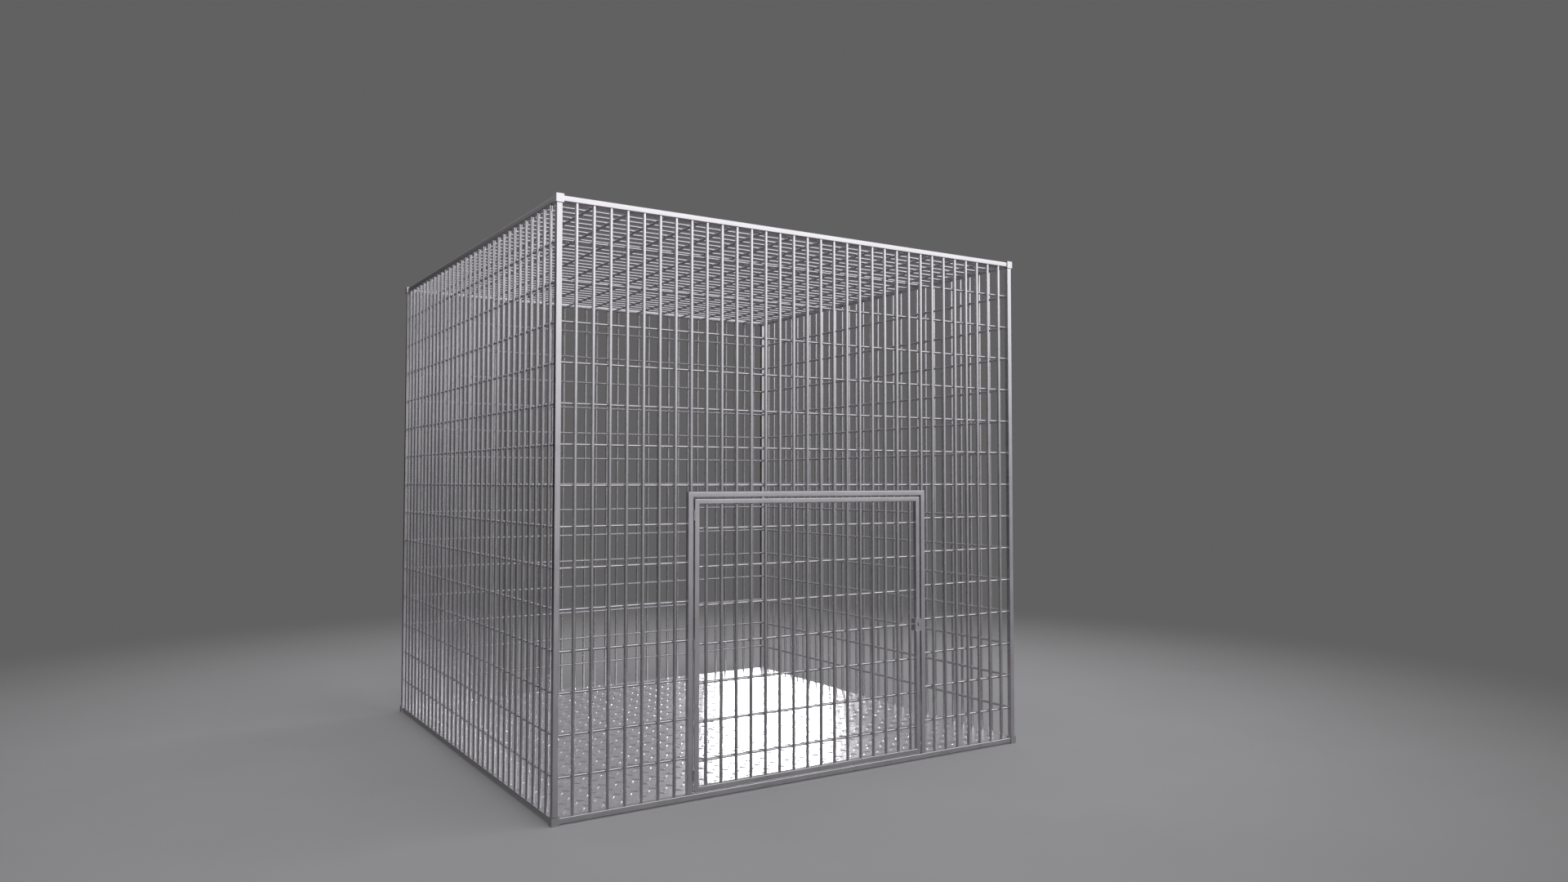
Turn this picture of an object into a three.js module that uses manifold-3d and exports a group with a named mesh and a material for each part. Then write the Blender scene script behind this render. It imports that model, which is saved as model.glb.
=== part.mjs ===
// Kennel cage: a cube of square steel tube on corner connectors, closed by welded bar grilles,
// with a tread plate floor and a hinged, key-locked door in the front wall.
// Millimetres, +Z up, front towards -Y, origin on the ground in the middle of the footprint.

import Module from 'manifold-3d';
import * as THREE from 'three';
import { mergeVertices } from 'three/addons/utils/BufferGeometryUtils.js';

// ---------------------------------------------------------------- driving dimensions

const GAP = 0.3; // clearance between neighbouring pieces
const MITRE_GAP = GAP / Math.SQRT2; // how far a mitred tube's axis stops short of the corner

const SIZE = 2000; // outside of the cage over the connectors, the same all three ways
const CONNECTOR = 28; // side of a corner connector
const CONNECTOR_EDGE = 2; // its chamfer
const SPIGOT_LENGTH = 32; // how far its spigots reach into the tubes
const TUBE = 20; // side of the frame's square tube
const LEAF_TUBE = 18; // side of the door leaf's square tube
const TUBE_WALL = 2;
const TUBE_EDGE = 1.6; // chamfer that stands for the tube's round corner

const BAR_CELLS = 33; // spaces between bars along a wall
const ROD_CELLS = 15; // spaces between rods up a wall
const BAR_RADIUS = 5.75;
const ROD_RADIUS = 4;
const BAR_DEPTH = -4; // a bar's axis, measured inwards from the wall's mid plane
const WELD_SINK = 1; // how far an edge bar or rod is pressed towards those that it is welded to
const BAR_SIDES = 6;

const PLATE_THICK = 4.5; // floor plate over its lugs
const PLATE_BASE = 3; // floor plate without its lugs
const BEARERS = 3;
const BEARER_WIDTH = 30;
const BEARER_HEIGHT = 16;

const JAMB_OFFSET = 510.5; // middle of the doorway to a jamb's axis
const HEADER_RISE = 1020; // bottom rail's axis to the header's axis
const LEAF_WIDTH = 989;
const LEAF_BOTTOM_GAP = 4; // bottom rail to leaf
const LEAF_TOP_GAP = 5; // leaf to header
const LEAF_FIRST_BAR = 9; // the leaf's bars stand in line with these bars of the wall
const LEAF_LAST_BAR = 24;
const LEAF_RODS = 7;

const BARREL_RADIUS = 4.6; // hinge knuckles
const PIN_RADIUS = 2;
const KNUCKLE_HEIGHT = 16.2;
const PIN_HEAD_RADIUS = 4.2;
const PIN_HEAD_HEIGHT = 2;
const HINGE_SPREAD = 438.5; // middle hinge to an end hinge
const ROUND_SIDES = 12;

const LOCK_WIDTH = 29;
const LOCK_DEPTH = 25;
const LOCK_HEIGHT = 48;
const LOCK_SET_IN = 2.5; // lock's mid plane, set in from the lock stile's axis
const LOCK_WALL = 1.5;
const COVER_THICK = 2;
const KEYHOLE_WIDTH = 4;
const KEYHOLE_HEIGHT = 12;
const BOLT_THICK = 8;
const BOLT_HEIGHT = 14;
const BOLT_LENGTH = 26;
const PLUG_RADIUS = 9;
const PLUG_LENGTH = 5.5;
const DRIVE_PIN_RADIUS = 2;
const DRIVE_PIN_ORBIT = 7;
const DRIVE_PIN_START = THREE.MathUtils.degToRad(-60); // from straight up, with the bolt drawn back
const BOLT_NOTCH = 6; // width of the notch that the drive pin works in
const KEEP_HEIGHT = 30;

// ---------------------------------------------------------------- derived places

const HALF = (SIZE - CONNECTOR) / 2; // cage centre to a post's axis
const SPAN = 2 * HALF;
const LOW = CONNECTOR / 2; // bottom rails' axis
const HIGH = SIZE - LOW; // top rails' axis
const MIDDLE = SIZE / 2;
const BAR_PITCH = SPAN / BAR_CELLS;
const ROD_PITCH = SPAN / ROD_CELLS;
const CLEAR = HALF - TUBE / 2 - GAP; // cage centre to the end of a bar or rod between two tubes
const RAIL_TOP = LOW + TUBE / 2;
const HEADER_Z = LOW + HEADER_RISE;
const LEAF_BOTTOM = RAIL_TOP + LEAF_BOTTOM_GAP;
const LEAF_TOP = HEADER_Z - TUBE / 2 - LEAF_TOP_GAP;
const LEAF_HEIGHT = LEAF_TOP - LEAF_BOTTOM;
const LEAF_Z = (LEAF_BOTTOM + LEAF_TOP) / 2;
const STILE_X = (LEAF_WIDTH - LEAF_TUBE) / 2;
const HINGE_X = -(JAMB_OFFSET - TUBE / 2 + LEAF_WIDTH / 2) / 2;
const HINGE_Y = -SIZE / 2 + BARREL_RADIUS;
const LOCK_X = STILE_X - LOCK_SET_IN;
const LOCK_FRONT = -HALF - LOCK_DEPTH / 2;
const CASE_FRONT = LOCK_FRONT + COVER_THICK + GAP;
const BOLT_TIP = LOCK_X + LOCK_WIDTH / 2 - GAP;
const STEEL = { color: 0x9b9a9f, roughness: 0.34, metalness: 1 };
const DARK_STEEL = { color: 0x84838a, roughness: 0.38, metalness: 1 };
const BRIGHT_PLATE = { color: 0xb4b4b8, roughness: 0.25, metalness: 1 };
const LOCK_STEEL = { color: 0xa3a2a7, roughness: 0.3, metalness: 1 };

// ---------------------------------------------------------------- solids

const wasm = await Module();
wasm.setup();

// The Manifold solid of a closed three.js geometry, for cutting and joining.
function solid(geometry) {
  const bare = geometry.clone();
  bare.deleteAttribute('normal');
  bare.deleteAttribute('uv');
  const welded = mergeVertices(bare, 1e-4);
  return new wasm.Manifold(new wasm.Mesh({
    numProp: 3,
    vertProperties: new Float32Array(welded.attributes.position.array),
    triVerts: new Uint32Array(welded.index.array),
  }));
}

function geometryOf(manifold) {
  const { vertProperties, triVerts } = manifold.getMesh();
  const geometry = new THREE.BufferGeometry();
  geometry.setAttribute('position', new THREE.BufferAttribute(vertProperties, 3));
  geometry.setIndex(new THREE.BufferAttribute(triVerts, 1));
  geometry.computeVertexNormals();
  return geometry;
}

// A block between two corners.
function block(from, to) {
  const size = to.map((end, axis) => end - from[axis]);
  const centre = to.map((end, axis) => (end + from[axis]) / 2);
  return new THREE.BoxGeometry(...size).translate(...centre);
}

// An upright round, or a prism of few sides with one corner towards -Y.
function upright(radius, height, sides) {
  return new THREE.CylinderGeometry(radius, radius, height, sides).rotateX(Math.PI / 2);
}

// The outline of a rectangle with its corners cut off at 45 degrees.
function chamferedOutline(width, height, edge) {
  const w = width / 2;
  const h = height / 2;
  return [
    [w, h - edge], [w - edge, h], [edge - w, h], [-w, h - edge],
    [-w, edge - h], [edge - w, -h], [w - edge, -h], [w, edge - h],
  ].map(([x, y]) => new THREE.Vector2(x, y));
}

function rectangleOutline(width, height) {
  const w = width / 2;
  const h = height / 2;
  return [[-w, -h], [w, -h], [w, h], [-w, h]].map(([x, y]) => new THREE.Vector2(x, y));
}

// A hollow tube with open ends, centred on the origin and lying along Z. For a mitre, an end is
// slanted: its z changes by the slope times x.
function tube(width, height, length, startSlope = 0, endSlope = 0) {
  const section = new THREE.Shape(chamferedOutline(width, height, TUBE_EDGE));
  const bore = rectangleOutline(width - 2 * TUBE_WALL, height - 2 * TUBE_WALL);
  section.holes.push(new THREE.Path(bore));
  const geometry = new THREE.ExtrudeGeometry(section, { depth: length, bevelEnabled: false })
    .translate(0, 0, -length / 2);
  const { position } = geometry.attributes;
  for (let index = 0; index < position.count; index += 1) {
    const z = position.getZ(index);
    position.setZ(index, z + (z < 0 ? startSlope : endSlope) * position.getX(index));
  }
  return geometry;
}

// A ring closed on itself, with its axis upright.
function ring(inner, outer, height) {
  const profile = [
    new THREE.Vector2(inner, -height / 2),
    new THREE.Vector2(outer, -height / 2),
    new THREE.Vector2(outer, height / 2),
    new THREE.Vector2(inner, height / 2),
    new THREE.Vector2(inner, -height / 2),
  ];
  return new THREE.LatheGeometry(profile, ROUND_SIDES).rotateX(Math.PI / 2);
}

// ---------------------------------------------------------------- the scene

const cage = new THREE.Group();

function add(name, geometry, finish, position = [0, 0, 0], rotation = [0, 0, 0]) {
  const mesh = new THREE.Mesh(geometry, new THREE.MeshStandardMaterial(finish));
  mesh.name = name;
  mesh.position.set(...position);
  mesh.rotation.set(...rotation);
  cage.add(mesh);
}

// ---------------------------------------------------------------- frame

// A chamfered cube with a spigot into each of the three tubes that meet at the corner.
function connector(signs) {
  const outline = chamferedOutline(CONNECTOR, CONNECTOR, CONNECTOR_EDGE);
  const depth = CONNECTOR - 2 * CONNECTOR_EDGE;
  const cube = new THREE.ExtrudeGeometry(new THREE.Shape(outline), {
    depth,
    bevelThickness: CONNECTOR_EDGE,
    bevelSize: CONNECTOR_EDGE,
    bevelOffset: -CONNECTOR_EDGE,
    bevelSegments: 1,
  }).translate(0, 0, -depth / 2);
  const half = TUBE / 2 - TUBE_WALL - GAP;
  let body = solid(cube);
  signs.forEach((sign, axis) => {
    const from = [-half, -half, -half];
    const to = [half, half, half];
    const reach = -sign * (CONNECTOR / 2 + SPIGOT_LENGTH);
    from[axis] = Math.min(0, reach);
    to[axis] = Math.max(0, reach);
    body = body.add(solid(block(from, to)));
  });
  return geometryOf(body);
}

const SIDES_X = [['left', -1], ['right', 1]];
const SIDES_Y = [['front', -1], ['back', 1]];
const LEVELS = [['bottom', -1], ['top', 1]];

function addConnectors() {
  for (const [sideX, x] of SIDES_X) {
    for (const [sideY, y] of SIDES_Y) {
      for (const [level, z] of LEVELS) {
        const position = [x * HALF, y * HALF, MIDDLE + z * HALF];
        add(`corner_${sideY}_${sideX}_${level}`, connector([x, y, z]), STEEL, position);
      }
    }
  }
}

function addFrameTubes() {
  const length = SPAN - CONNECTOR - 2 * GAP;
  const member = tube(TUBE, TUBE, length);
  const quarter = Math.PI / 2;
  for (const [sideY, y] of SIDES_Y) {
    for (const [sideX, x] of SIDES_X) {
      add(`post_${sideY}_${sideX}`, member, STEEL, [x * HALF, y * HALF, MIDDLE]);
    }
    for (const [level, z] of LEVELS) {
      const position = [0, y * HALF, MIDDLE + z * HALF];
      add(`${level}_rail_${sideY}`, member, STEEL, position, [0, quarter, 0]);
    }
  }
  for (const [sideX, x] of SIDES_X) {
    for (const [level, z] of LEVELS) {
      const position = [x * HALF, 0, MIDDLE + z * HALF];
      add(`${level}_rail_${sideX}`, member, STEEL, position, [quarter, 0, 0]);
    }
  }
}

// ---------------------------------------------------------------- grilles

// A grille in the XZ plane, with +Y to the inside of the cage: upright bars on the outside and
// level rods behind them. Each bar is welded to the first and last rod, and each rod to the first
// and last bar; the other crossings stand just clear of each other.
function grille(bars, barEnds, rods, rodEnds) {
  const rodDepth = BAR_DEPTH + BAR_RADIUS + GAP + ROD_RADIUS;
  const isEnd = (index, list) => index === 0 || index === list.length - 1;
  const barLength = barEnds[1] - barEnds[0];
  const rodLength = rodEnds[1] - rodEnds[0];
  const members = [];
  bars.forEach((x, index) => {
    const y = BAR_DEPTH + (isEnd(index, bars) ? WELD_SINK : 0);
    const bar = upright(BAR_RADIUS, barLength, BAR_SIDES);
    members.push(bar.translate(x, y, (barEnds[0] + barEnds[1]) / 2));
  });
  rods.forEach((z, index) => {
    const y = rodDepth - (isEnd(index, rods) ? WELD_SINK : 0);
    const rod = upright(ROD_RADIUS, rodLength, BAR_SIDES).rotateY(Math.PI / 2);
    members.push(rod.translate((rodEnds[0] + rodEnds[1]) / 2, y, z));
  });
  return geometryOf(wasm.Manifold.union(members.map(solid)));
}

// The places of a row of bars or rods across a wall, counted from 1 next to its edge.
function places(first, last, pitch) {
  const list = [];
  for (let index = first; index <= last; index += 1) {
    list.push(index * pitch - HALF);
  }
  return list;
}

function addWallGrilles() {
  const bars = places(1, BAR_CELLS - 1, BAR_PITCH);
  const rods = places(1, ROD_CELLS - 1, ROD_PITCH);
  const wall = grille(bars, [-CLEAR, CLEAR], rods, [-CLEAR, CLEAR]);
  const quarter = Math.PI / 2;
  add('grille_left', wall, DARK_STEEL, [-HALF, 0, MIDDLE], [0, 0, -quarter]);
  add('grille_right', wall, DARK_STEEL, [HALF, 0, MIDDLE], [0, 0, quarter]);
  add('grille_back', wall, DARK_STEEL, [0, HALF, MIDDLE], [0, 0, Math.PI]);

  // The roof's bars run from side to side, so the wall's upright direction lies along -X.
  const roof = new THREE.Matrix4().makeBasis(
    new THREE.Vector3(0, 1, 0),
    new THREE.Vector3(0, 0, -1),
    new THREE.Vector3(-1, 0, 0),
  );
  const turn = new THREE.Euler().setFromRotationMatrix(roof);
  add('grille_roof', wall, DARK_STEEL, [0, 0, HIGH], [turn.x, turn.y, turn.z]);
}

// The front wall's grille comes in three: one beside each jamb and one over the header.
function addFrontGrilles() {
  const besideDoor = LEAF_FIRST_BAR - 2;
  const jambOutside = JAMB_OFFSET + TUBE / 2 + GAP;
  const rods = places(1, ROD_CELLS - 1, ROD_PITCH);
  const sideBars = places(1, besideDoor, BAR_PITCH);
  const side = grille(sideBars, [-CLEAR, CLEAR], rods, [-CLEAR, -jambOutside]);
  add('grille_front_left', side, DARK_STEEL, [0, -HALF, MIDDLE]);
  const mirrored = sideBars.map((x) => -x).reverse();
  const other = grille(mirrored, [-CLEAR, CLEAR], rods, [jambOutside, CLEAR]);
  add('grille_front_right', other, DARK_STEEL, [0, -HALF, MIDDLE]);

  const headerTop = HEADER_Z + TUBE / 2 + GAP - MIDDLE;
  const overBars = places(besideDoor + 1, LEAF_LAST_BAR + 1, BAR_PITCH);
  const overRods = rods.filter((z) => z > headerTop);
  const reach = jambOutside - GAP;
  const over = grille(overBars, [headerTop, CLEAR], overRods, [-reach, reach]);
  add('grille_front_over_door', over, DARK_STEEL, [0, -HALF, MIDDLE]);
}

// ---------------------------------------------------------------- floor

// The tread plate lies between the rails, notched round the connectors.
function addFloor() {
  const notch = HALF - CONNECTOR / 2 - GAP;
  const outline = [
    [CLEAR, notch], [notch, notch], [notch, CLEAR], [-notch, CLEAR],
    [-notch, notch], [-CLEAR, notch], [-CLEAR, -notch], [-notch, -notch],
    [-notch, -CLEAR], [notch, -CLEAR], [notch, -notch], [CLEAR, -notch],
  ].map(([x, y]) => new THREE.Vector2(x, y));
  const underside = RAIL_TOP - PLATE_BASE;
  const plate = new THREE.ExtrudeGeometry(new THREE.Shape(outline), {
    depth: PLATE_THICK,
    bevelEnabled: false,
  }).translate(0, 0, underside);
  add('floor_plate', plate, BRIGHT_PLATE);

  const bearer = tube(BEARER_WIDTH, BEARER_HEIGHT, 2 * CLEAR);
  for (let index = 1; index <= BEARERS; index += 1) {
    const x = index * (SPAN / (BEARERS + 1)) - HALF;
    const z = underside - GAP - BEARER_HEIGHT / 2;
    add(`floor_bearer_${index}`, bearer, STEEL, [x, 0, z], [Math.PI / 2, 0, 0]);
  }
}

// ---------------------------------------------------------------- doorway

const HINGE_HEIGHTS = [
  ['lower', LEAF_Z - HINGE_SPREAD],
  ['middle', LEAF_Z],
  ['upper', LEAF_Z + HINGE_SPREAD],
];

// A tube on the front wall with a hollow in its corner for each hinge barrel.
function scalloped(placedTube) {
  const hollowHeight = 2 * KNUCKLE_HEIGHT + PIN_HEAD_HEIGHT + 4 * GAP;
  let body = solid(placedTube);
  for (const [, hingeZ] of HINGE_HEIGHTS) {
    const hollow = upright(BARREL_RADIUS + GAP, hollowHeight, ROUND_SIDES);
    const middle = hingeZ + PIN_HEAD_HEIGHT / 2;
    body = body.subtract(solid(hollow.translate(HINGE_X, HINGE_Y, middle)));
  }
  return geometryOf(body);
}

// An upright tube on the front wall's mid plane, between two heights on its axis.
function upTube(side, x, bottom, top, startSlope = 0, endSlope = 0) {
  const length = top - bottom;
  return tube(side, side, length, startSlope, endSlope).translate(x, -HALF, bottom + length / 2);
}

// A level tube on the front wall's mid plane, mitred at both ends: its outside is above its
// axis when outward is 1 and below it when outward is -1.
function levelTube(side, reach, z, outward) {
  return tube(side, side, 2 * reach, outward, -outward)
    .rotateY(Math.PI / 2)
    .translate(0, -HALF, z);
}

// The jambs and the header are mitred into each other.
function addDoorFrame() {
  const bottom = RAIL_TOP + GAP;
  const top = HEADER_Z - MITRE_GAP;
  const keepHalf = KEEP_HEIGHT / 2 + GAP;
  const hingeJamb = upTube(TUBE, -JAMB_OFFSET, bottom, top, 0, -1);
  add('jamb_hinge_side', scalloped(hingeJamb), STEEL);
  const lockJambLower = upTube(TUBE, JAMB_OFFSET, bottom, LEAF_Z - keepHalf);
  add('jamb_lock_side_lower', lockJambLower, STEEL);
  const lockJambUpper = upTube(TUBE, JAMB_OFFSET, LEAF_Z + keepHalf, top, 0, 1);
  add('jamb_lock_side_upper', lockJambUpper, STEEL);
  add('door_header', levelTube(TUBE, JAMB_OFFSET - MITRE_GAP, HEADER_Z, 1), STEEL);
}

// ---------------------------------------------------------------- door leaf

// The leaf is a frame mitred at all four corners. Its lock stile is parted by the lock case.
function addLeaf() {
  const low = LEAF_BOTTOM + LEAF_TUBE / 2;
  const high = LEAF_TOP - LEAF_TUBE / 2;
  const bottom = low + MITRE_GAP;
  const top = high - MITRE_GAP;
  const lockHalf = LOCK_HEIGHT / 2 + GAP;
  const hingeStile = upTube(LEAF_TUBE, -STILE_X, bottom, top, 1, -1);
  add('leaf_stile_hinge_side', scalloped(hingeStile), STEEL);
  const lockStileLower = upTube(LEAF_TUBE, STILE_X, bottom, LEAF_Z - lockHalf, -1, 0);
  add('leaf_stile_lock_side_lower', lockStileLower, STEEL);
  const lockStileUpper = upTube(LEAF_TUBE, STILE_X, LEAF_Z + lockHalf, top, 0, 1);
  add('leaf_stile_lock_side_upper', lockStileUpper, STEEL);
  add('leaf_rail_bottom', levelTube(LEAF_TUBE, STILE_X - MITRE_GAP, low, -1), STEEL);
  add('leaf_rail_top', levelTube(LEAF_TUBE, STILE_X - MITRE_GAP, high, 1), STEEL);

  const inside = STILE_X - LEAF_TUBE / 2 - GAP;
  const bars = places(LEAF_FIRST_BAR, LEAF_LAST_BAR, BAR_PITCH);
  const rods = [];
  for (let index = 0; index < LEAF_RODS; index += 1) {
    rods.push((index - (LEAF_RODS - 1) / 2) * ROD_PITCH);
  }
  const barReach = LEAF_HEIGHT / 2 - LEAF_TUBE - GAP;
  const infill = grille(bars, [-barReach, barReach], rods, [-inside, inside]);
  // The middle rod stops short, at the side of the lock case.
  const lockRoom = block(
    [LOCK_X - LOCK_WIDTH / 2 - GAP, -LOCK_DEPTH / 2, -LOCK_HEIGHT / 2],
    [STILE_X, LOCK_DEPTH / 2, LOCK_HEIGHT / 2],
  );
  const trimmed = geometryOf(solid(infill).subtract(solid(lockRoom)));
  add('leaf_grille', trimmed, DARK_STEEL, [0, -HALF, LEAF_Z]);
}

// ---------------------------------------------------------------- hinges

// A round pin with a flat head resting over the upper knuckle.
function hingePin() {
  const shank = 2 * KNUCKLE_HEIGHT + 2 * GAP;
  const profile = [
    new THREE.Vector2(0, -shank / 2),
    new THREE.Vector2(PIN_RADIUS, -shank / 2),
    new THREE.Vector2(PIN_RADIUS, shank / 2),
    new THREE.Vector2(PIN_HEAD_RADIUS, shank / 2),
    new THREE.Vector2(PIN_HEAD_RADIUS, shank / 2 + PIN_HEAD_HEIGHT),
    new THREE.Vector2(0, shank / 2 + PIN_HEAD_HEIGHT),
  ];
  return new THREE.LatheGeometry(profile, ROUND_SIDES).rotateX(Math.PI / 2);
}

function addHinges() {
  const knuckle = ring(PIN_RADIUS + GAP, BARREL_RADIUS, KNUCKLE_HEIGHT);
  const pin = hingePin();
  const lift = (KNUCKLE_HEIGHT + GAP) / 2;
  for (const [place, z] of HINGE_HEIGHTS) {
    add(`hinge_${place}_jamb_knuckle`, knuckle, STEEL, [HINGE_X, HINGE_Y, z - lift]);
    add(`hinge_${place}_leaf_knuckle`, knuckle, STEEL, [HINGE_X, HINGE_Y, z + lift]);
    add(`hinge_${place}_pin`, pin, STEEL, [HINGE_X, HINGE_Y, z + GAP / 2]);
  }
}

// ---------------------------------------------------------------- lock

// The case is a box with an open front and a slot in its side for the bolt.
function lockCase() {
  const left = LOCK_X - LOCK_WIDTH / 2;
  const right = LOCK_X + LOCK_WIDTH / 2;
  const back = LOCK_FRONT + LOCK_DEPTH;
  const low = LEAF_Z - LOCK_HEIGHT / 2;
  const high = LEAF_Z + LOCK_HEIGHT / 2;
  const shell = solid(block([left, CASE_FRONT, low], [right, back, high]));
  const hollow = solid(block(
    [left + LOCK_WALL, CASE_FRONT - 1, low + LOCK_WALL],
    [right - LOCK_WALL, back - LOCK_WALL, high - LOCK_WALL],
  ));
  const slotY = BOLT_THICK / 2 + GAP;
  const slotZ = BOLT_HEIGHT / 2 + GAP;
  const slot = solid(block(
    [LOCK_X, -HALF - slotY, LEAF_Z - slotZ],
    [right + 1, -HALF + slotY, LEAF_Z + slotZ],
  ));
  return geometryOf(shell.subtract(hollow).subtract(slot));
}

// The cover is a plate with the keyhole through it.
function lockCover() {
  const face = new THREE.Shape(rectangleOutline(LOCK_WIDTH, LOCK_HEIGHT));
  const keyhole = chamferedOutline(KEYHOLE_WIDTH, KEYHOLE_HEIGHT, KEYHOLE_WIDTH / 3);
  face.holes.push(new THREE.Path(keyhole));
  return new THREE.ExtrudeGeometry(face, { depth: COVER_THICK, bevelEnabled: false })
    .rotateX(Math.PI / 2)
    .translate(LOCK_X, LOCK_FRONT + COVER_THICK, LEAF_Z);
}

// The bolt is a flat bar with a notch in its top edge, where the drive pin works.
function lockBolt() {
  const low = LEAF_Z - BOLT_HEIGHT / 2;
  const high = LEAF_Z + BOLT_HEIGHT / 2;
  const near = -HALF - BOLT_THICK / 2;
  const far = -HALF + BOLT_THICK / 2;
  const bar = solid(block([BOLT_TIP - BOLT_LENGTH, near, low], [BOLT_TIP, far, high]));
  const notchX = LOCK_X + DRIVE_PIN_ORBIT * Math.sin(DRIVE_PIN_START);
  const notchFloor = LEAF_Z + DRIVE_PIN_ORBIT * Math.cos(DRIVE_PIN_START)
    - DRIVE_PIN_RADIUS - 2 * GAP;
  const notch = solid(block(
    [notchX - BOLT_NOTCH / 2, near - 1, notchFloor],
    [notchX + BOLT_NOTCH / 2, far + 1, high + 1],
  ));
  return geometryOf(bar.subtract(notch));
}

// The key plug is a disc with a key slot in front and the bolt's drive pin behind.
function keyPlug() {
  const discFront = CASE_FRONT;
  const disc = new THREE.CylinderGeometry(PLUG_RADIUS, PLUG_RADIUS, PLUG_LENGTH, ROUND_SIDES)
    .translate(LOCK_X, discFront + PLUG_LENGTH / 2, LEAF_Z);
  const pinLength = BOLT_THICK + 1;
  const pinStart = discFront + PLUG_LENGTH - 1;
  const pin = new THREE.CylinderGeometry(DRIVE_PIN_RADIUS, DRIVE_PIN_RADIUS, pinLength + 1, 8)
    .translate(
      LOCK_X + DRIVE_PIN_ORBIT * Math.sin(DRIVE_PIN_START),
      pinStart + (pinLength + 1) / 2,
      LEAF_Z + DRIVE_PIN_ORBIT * Math.cos(DRIVE_PIN_START),
    );
  const slotX = KEYHOLE_WIDTH / 2 - GAP;
  const slotZ = KEYHOLE_HEIGHT / 2 - GAP;
  const slot = block(
    [LOCK_X - slotX, discFront - 1, LEAF_Z - slotZ],
    [LOCK_X + slotX, discFront + PLUG_LENGTH / 2, LEAF_Z + slotZ],
  );
  return geometryOf(solid(disc).add(solid(pin)).subtract(solid(slot)));
}

// The keep is a block in the lock-side jamb with a passage through it for the bolt.
function boltKeep() {
  const half = TUBE / 2;
  const keepHalf = KEEP_HEIGHT / 2;
  const passageY = BOLT_THICK / 2 + 1;
  const passageZ = BOLT_HEIGHT / 2 + 1;
  const body = solid(block(
    [JAMB_OFFSET - half, -HALF - half, LEAF_Z - keepHalf],
    [JAMB_OFFSET + half, -HALF + half, LEAF_Z + keepHalf],
  ));
  const passage = solid(block(
    [JAMB_OFFSET - half - 1, -HALF - passageY, LEAF_Z - passageZ],
    [JAMB_OFFSET + half + 1, -HALF + passageY, LEAF_Z + passageZ],
  ));
  return geometryOf(body.subtract(passage));
}

function addLock() {
  add('lock_case', lockCase(), LOCK_STEEL);
  add('lock_cover', lockCover(), LOCK_STEEL);
  add('lock_bolt', lockBolt(), LOCK_STEEL);
  add('key_plug', keyPlug(), LOCK_STEEL);
  add('bolt_keep', boltKeep(), STEEL);
}

addConnectors();
addFrameTubes();
addWallGrilles();
addFrontGrilles();
addFloor();
addDoorFrame();
addLeaf();
addHinges();
addLock();

export default cage;
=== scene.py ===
import math

import bmesh
import bpy
from mathutils import Matrix, Vector


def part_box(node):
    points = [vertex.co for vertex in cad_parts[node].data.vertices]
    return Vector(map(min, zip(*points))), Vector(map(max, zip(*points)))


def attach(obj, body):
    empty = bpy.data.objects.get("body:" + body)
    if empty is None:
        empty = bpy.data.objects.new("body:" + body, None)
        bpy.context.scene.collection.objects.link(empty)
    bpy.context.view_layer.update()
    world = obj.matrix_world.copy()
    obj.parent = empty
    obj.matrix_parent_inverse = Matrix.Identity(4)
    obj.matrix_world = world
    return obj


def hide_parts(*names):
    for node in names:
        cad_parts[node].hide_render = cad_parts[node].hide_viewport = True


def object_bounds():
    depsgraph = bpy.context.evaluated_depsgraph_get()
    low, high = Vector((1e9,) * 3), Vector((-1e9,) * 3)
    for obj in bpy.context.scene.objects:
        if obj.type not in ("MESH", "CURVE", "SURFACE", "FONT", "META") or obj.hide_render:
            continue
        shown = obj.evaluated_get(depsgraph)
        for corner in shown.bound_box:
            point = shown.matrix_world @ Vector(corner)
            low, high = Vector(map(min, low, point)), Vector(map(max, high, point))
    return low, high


# Kennel cage: rounded steel tube, welded round bars, tread plate floor and a hinged, locked door.
# Metres, in the frame's own axes: +Z up, front towards -Y.

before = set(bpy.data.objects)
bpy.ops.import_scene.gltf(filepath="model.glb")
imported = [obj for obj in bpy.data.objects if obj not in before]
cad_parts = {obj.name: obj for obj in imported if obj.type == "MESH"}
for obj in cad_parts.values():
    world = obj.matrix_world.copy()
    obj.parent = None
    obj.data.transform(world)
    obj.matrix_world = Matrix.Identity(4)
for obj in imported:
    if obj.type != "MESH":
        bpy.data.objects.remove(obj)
cad_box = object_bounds()

# ------------------------------------------------------------------ driving dimensions

BAR_CELLS = 33  # spaces between bars along a wall
ROD_CELLS = 15  # spaces between rods up a wall
LEAF_BARS = range(9, 25)  # the places, of a wall's bars, that the door leaf's bars stand at
LEAF_RODS = 7

BAR_RADIUS = 0.006
BAR_DEPTH = -0.0036  # bar's axis, inwards from the wall's mid plane
ROD_RADIUS = 0.005
ROD_DEPTH = 0.0050
ROUND_SIDES = 16
COLLAR_RISE = 0.0022  # weld round the end of a bar or rod
COLLAR_SPREAD = 0.0017
COLLAR_SIDES = 12
SPOT_WELD = (0.0054, 0.0026, 0.0050)  # half the size of the weld metal at a crossing
SPOT_SIDES = 6
BAR_FINISH, ROD_FINISH, WELD_FINISH = range(3)

TUBE_ROUND = 0.0026  # outside radius of a tube's corners
TUBE_WALL = 0.002
CORNER_STEPS = 4
CONNECTOR_ROUND = 0.0022
BLOCK_STEPS = 3
LEAST_ROUND = 0.0002
CLEARANCE = 0.0003

PLATE_GAP = 0.0002
LUG_PITCH_CELLS = 30  # spaces between the tread plate's lugs, of each set, across the floor
LUG_LENGTH = 0.034
LUG_WIDTH = 0.0105
LUG_RISE = 0.002
LUG_SIDES = 16
LUG_SHIFT = (0.3, 0.05)  # first lug from the first place of the grid, in half pitches
LUG_CROWN = ((1, 0), (0.92, 0.42), (0.74, 0.76), (0.48, 0.95), (0.2, 1))  # share of width, share of rise

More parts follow.
